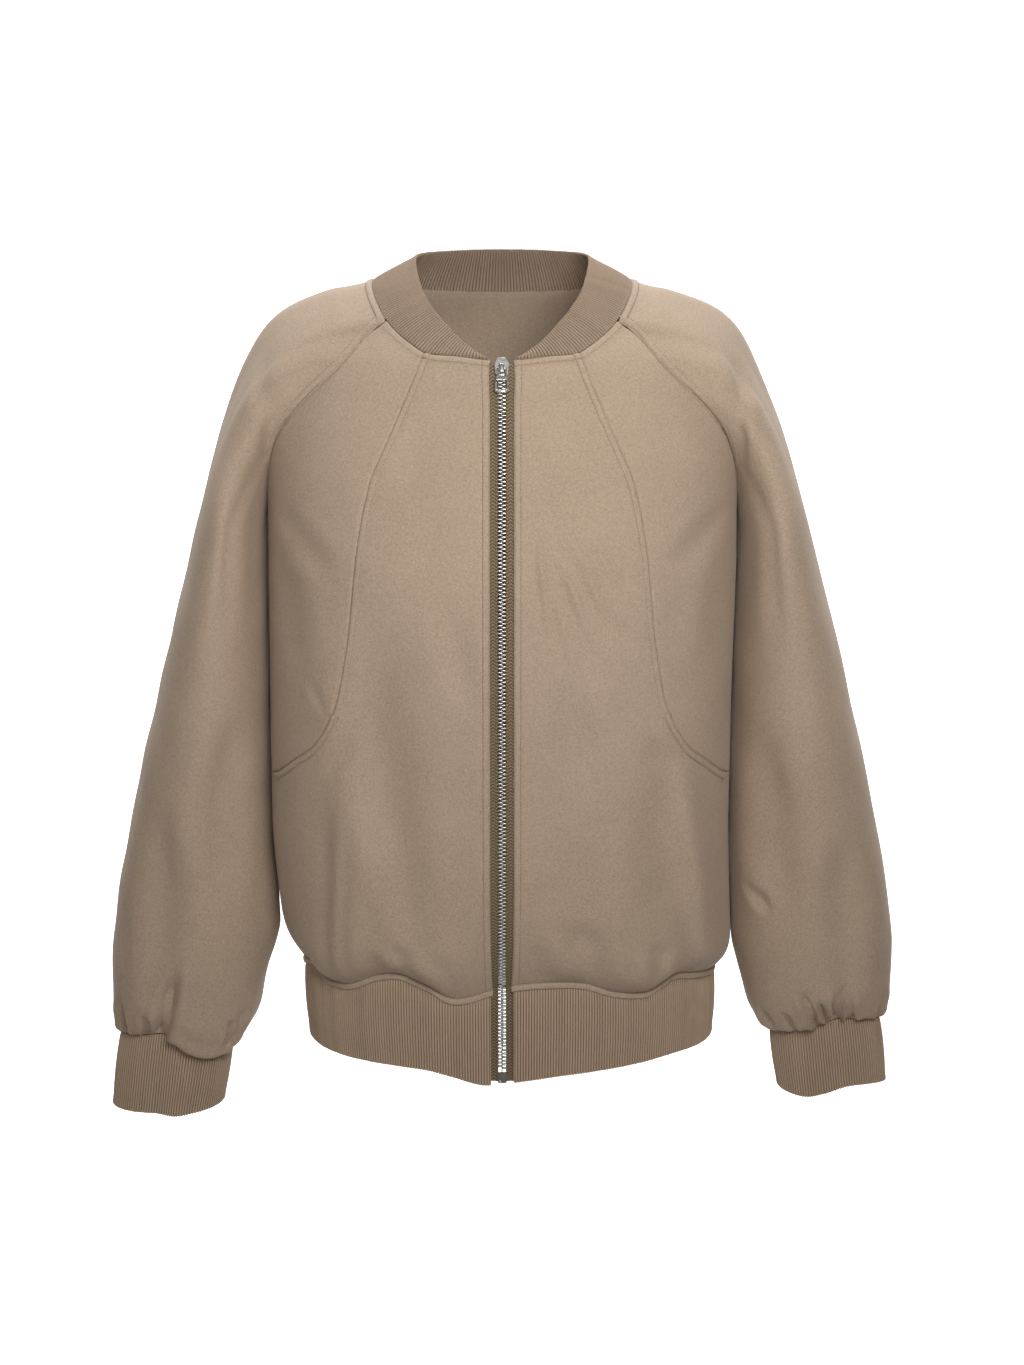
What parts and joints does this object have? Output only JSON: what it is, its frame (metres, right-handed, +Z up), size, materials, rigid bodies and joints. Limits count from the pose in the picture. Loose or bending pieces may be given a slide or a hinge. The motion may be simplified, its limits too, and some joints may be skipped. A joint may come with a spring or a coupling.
{
  "type": "bomber jacket",
  "caption": "Zip-front bomber jacket in smooth knit with raglan sleeves, princess seams, slanted pockets and ribbed collar, hem band and cuffs.",
  "frame": {"origin": "middle of the neck opening, level with the collar seam at the sides", "axes": "+Z up, the front and its zip face -Y, +X is the wearer's left"},
  "size_m": [0.6686, 0.2788, 0.7297],
  "materials": {
    "body_cloth": "smooth matt double knit, taupe",
    "rib_knit": "ribbed knit, a little darker than the body",
    "zip_tape": "herringbone woven tape, khaki",
    "zip_metal": "silver-grey metal"
  },
  "bodies": {
    "jacket": {"front_centre_left": "body_cloth", "front_centre_right": "body_cloth", "front_side_left": "body_cloth", "front_side_right": "body_cloth", "pocket_edge_left": "body_cloth", "pocket_edge_right": "body_cloth", "back": "body_cloth", "sleeve_left": "body_cloth", "sleeve_right": "body_cloth", "collar": "rib_knit", "hem_band": "rib_knit", "cuff_left": "rib_knit", "cuff_right": "rib_knit", "zip_tape_left": "zip_tape", "zip_tape_right": "zip_tape", "zip_chain": "zip_metal", "zip_slider": "zip_metal", "zip_box": "zip_metal"},
    "pull": {"zip_pull": "zip_metal"}
  },
  "joints": [
    {"name": "pull_hinge", "type": "hinge", "parent": "jacket", "child": "pull", "pos_m": [0, -0.11063, -0.06513], "axis": [-1, 0, 0], "range_deg": [0, 150]}
  ]
}
